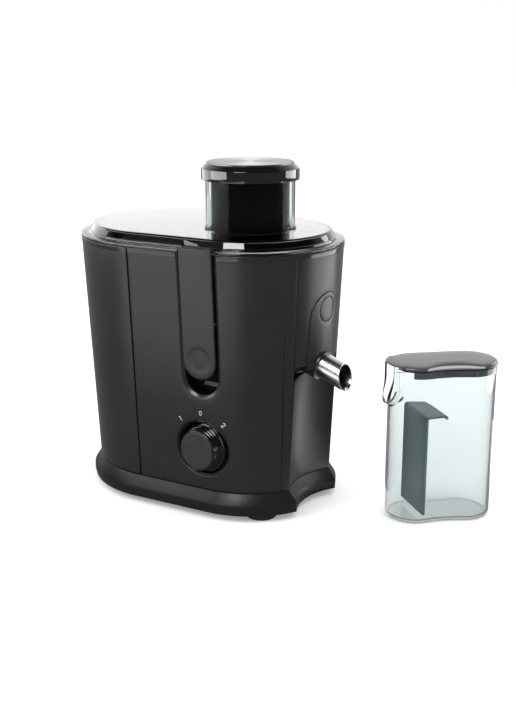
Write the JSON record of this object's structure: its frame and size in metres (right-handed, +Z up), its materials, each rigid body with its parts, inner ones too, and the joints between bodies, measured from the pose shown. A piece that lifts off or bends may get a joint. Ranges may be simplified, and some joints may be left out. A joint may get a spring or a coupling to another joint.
{
  "type": "centrifugal juicer",
  "caption": "Centrifugal juicer: drafted egg-shaped body with side spout, clear lid and feed tube with pusher, end pulp bin, dial and latches, beside a lidded juice jug.",
  "frame": {"origin": "on the worktop, under the middle of the box round the machine and its jug; the motor spindle, feed tube and filter basket share a vertical axis at x -21 mm, y -1 mm", "axes": "+Z up, along the spindle, +X towards the spout and away from the pulp bin, -Y towards the user, where the dial is"},
  "size_m": [0.4047, 0.1974, 0.3264],
  "materials": {
    "charcoal_plastic": "satin moulded charcoal",
    "gloss_black": "polished black",
    "clear_plastic": "clear moulded plastic with a slight smoke tint",
    "jug_plastic": "clear moulded plastic with a faint green tint",
    "smoke_plastic": "smoky grey gloss",
    "separator_plastic": "translucent teal grey",
    "steel": "brushed stainless steel",
    "hard_steel": "ground steel",
    "spun_disc": "spun radial finish",
    "rubber": "matt moulded rubber",
    "mark_grey": "light grey print",
    "cast_alloy": "die cast",
    "lamination": "stacked lamination edges",
    "copper_wire": "enamelled copper windings",
    "phenolic": "brown phenolic",
    "carbon": "pressed carbon",
    "board_green": "solder mask",
    "inner_plastic": "dark grey moulded"
  },
  "bodies": {
    "base": {"plinth": "charcoal_plastic", "base_pan": "charcoal_plastic", "feet": "rubber", "base_screws": "hard_steel", "front_cover": "charcoal_plastic", "front_pocket": "charcoal_plastic", "rear_housing": "charcoal_plastic", "rear_pocket": "charcoal_plastic", "side_wall": "charcoal_plastic", "divider_wall": "charcoal_plastic", "motor_deck": "inner_plastic", "deck_screws": "hard_steel", "motor_dampers": "rubber", "upper_bracket": "cast_alloy", "lower_bracket": "cast_alloy", "bearings": "hard_steel", "stator_core": "lamination", "stator_coils": "copper_wire", "brush_holders": "phenolic", "carbon_brushes": "carbon", "speed_switch": "inner_plastic", "control_board": "board_green", "safety_switch": "inner_plastic", "cord_gland": "rubber", "dial_bezel": "gloss_black", "dial_marks": "mark_grey", "latch_pins": "hard_steel"},
    "rotor": {"motor_shaft": "hard_steel", "armature": "lamination", "commutator": "copper_wire", "cooling_fan": "inner_plastic", "drive_coupling": "inner_plastic"},
    "collector": {"juice_collector": "charcoal_plastic", "collector_bowl": "charcoal_plastic", "collector_floor": "charcoal_plastic", "collector_tube": "charcoal_plastic", "collector_skirt": "charcoal_plastic", "spout_cover": "charcoal_plastic", "juice_spout": "steel"},
    "basket": {"basket_hub": "inner_plastic", "grater_disc": "steel", "filter_mesh": "steel", "basket_rim": "inner_plastic"},
    "lid": {"lid_cover": "clear_plastic", "lid_rim": "clear_plastic", "feed_tube": "clear_plastic"},
    "pusher": {"pusher": "gloss_black", "pusher_cap": "gloss_black", "pusher_cap_disc": "spun_disc"},
    "pulp_container": {"pulp_container": "charcoal_plastic"},
    "front_latch": {"front_latch": "charcoal_plastic"},
    "rear_latch": {"rear_latch": "charcoal_plastic"},
    "knob": {"speed_knob": "gloss_black", "knob_face": "charcoal_plastic"},
    "jug": {"jug": "jug_plastic", "foam_separator": "separator_plastic"},
    "jug_lid": {"jug_lid": "smoke_plastic"}
  },
  "joints": [
    {"name": "spindle_spin", "type": "hinge", "parent": "base", "child": "rotor", "pos_m": [-0.021, -0.001, 0.08], "axis": [0, 0, 1], "continuous": true},
    {"name": "collector_lift", "type": "slide", "parent": "base", "child": "collector", "axis": [0, 0, 1], "range_m": [0, 0.13]},
    {"name": "basket_spin", "type": "hinge", "parent": "collector", "child": "basket", "pos_m": [-0.021, -0.001, 0.16], "axis": [0, 0, 1], "continuous": true},
    {"name": "lid_lift", "type": "slide", "parent": "collector", "child": "lid", "axis": [0, 0, 1], "range_m": [0, 0.11]},
    {"name": "pusher_lift", "type": "slide", "parent": "lid", "child": "pusher", "axis": [0, 0, 1], "range_m": [0, 0.145]},
    {"name": "container_slide", "type": "slide", "parent": "base", "child": "pulp_container", "axis": [-1, 0, 0], "range_m": [0, 0.2]},
    {"name": "front_latch_swing", "type": "hinge", "parent": "base", "child": "front_latch", "pos_m": [-0.017, -0.0785, 0.188], "axis": [1, 0, 0], "range_deg": [0, 8], "stiffness_Nm_per_rad": 0.4, "springref_deg": -8.59},
    {"name": "rear_latch_swing", "type": "hinge", "parent": "base", "child": "rear_latch", "pos_m": [-0.017, 0.0765, 0.188], "axis": [-1, 0, 0], "range_deg": [0, 8], "stiffness_Nm_per_rad": 0.4, "springref_deg": -8.59},
    {"name": "knob_turn", "type": "hinge", "parent": "base", "child": "knob", "pos_m": [-0.02, -0.0735, 0.0676], "axis": [0, -1, 0], "range_deg": [-41, 41]},
    {"name": "jug_lift", "type": "slide", "parent": "base", "child": "jug", "axis": [0, 0, 1], "range_m": [0, 0.12]},
    {"name": "jug_lid_lift", "type": "slide", "parent": "jug", "child": "jug_lid", "axis": [0, 0, 1], "range_m": [0, 0.04]}
  ],
  "couplings": [
    {"joint": "basket_spin", "follows": "spindle_spin", "ratio": 1}
  ]
}
